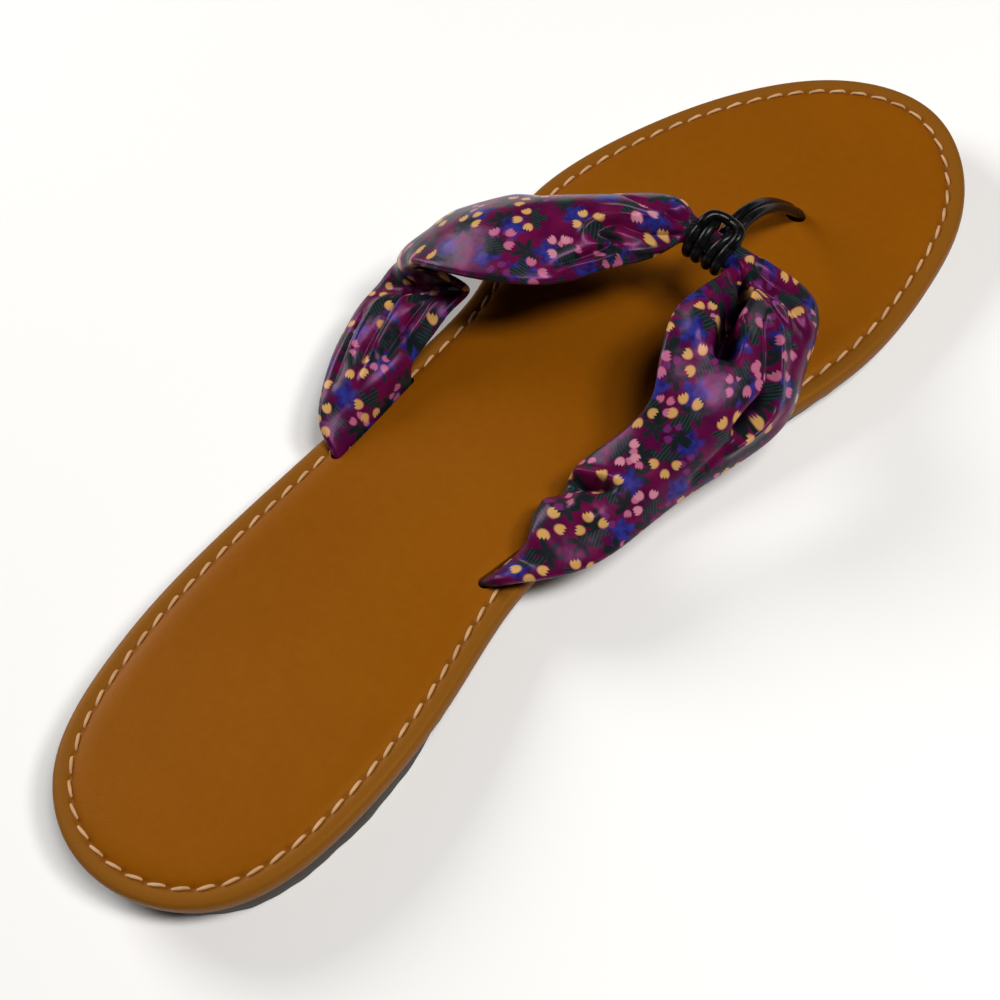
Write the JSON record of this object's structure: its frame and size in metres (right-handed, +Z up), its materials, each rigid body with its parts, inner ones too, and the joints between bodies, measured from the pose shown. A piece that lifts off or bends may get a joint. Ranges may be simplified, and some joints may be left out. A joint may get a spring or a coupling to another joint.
{
  "type": "thong sandal",
  "caption": "Flat thong sandal: padded leather footbed on a rubber outsole, a printed satin scarf as the upper, and a doubled cord hitched round the scarf as the toe post.",
  "frame": {"origin": "middle of the shoe's box, on the ground", "axes": "+X towards the big-toe side, +Y from heel to toes, +Z up"},
  "size_m": [0.091, 0.2458, 0.0378],
  "materials": {
    "outsole": "matt, dark brown",
    "footbed": "smooth tan, low sheen",
    "scarf": "satin, plum with a small flower print",
    "cord": "round waxed cord, black, glossy"
  },
  "bodies": {
    "root": {"outsole": "outsole", "footbed": "footbed", "scarf_strap": "scarf", "toe_cord": "cord"}
  },
  "joints": []
}
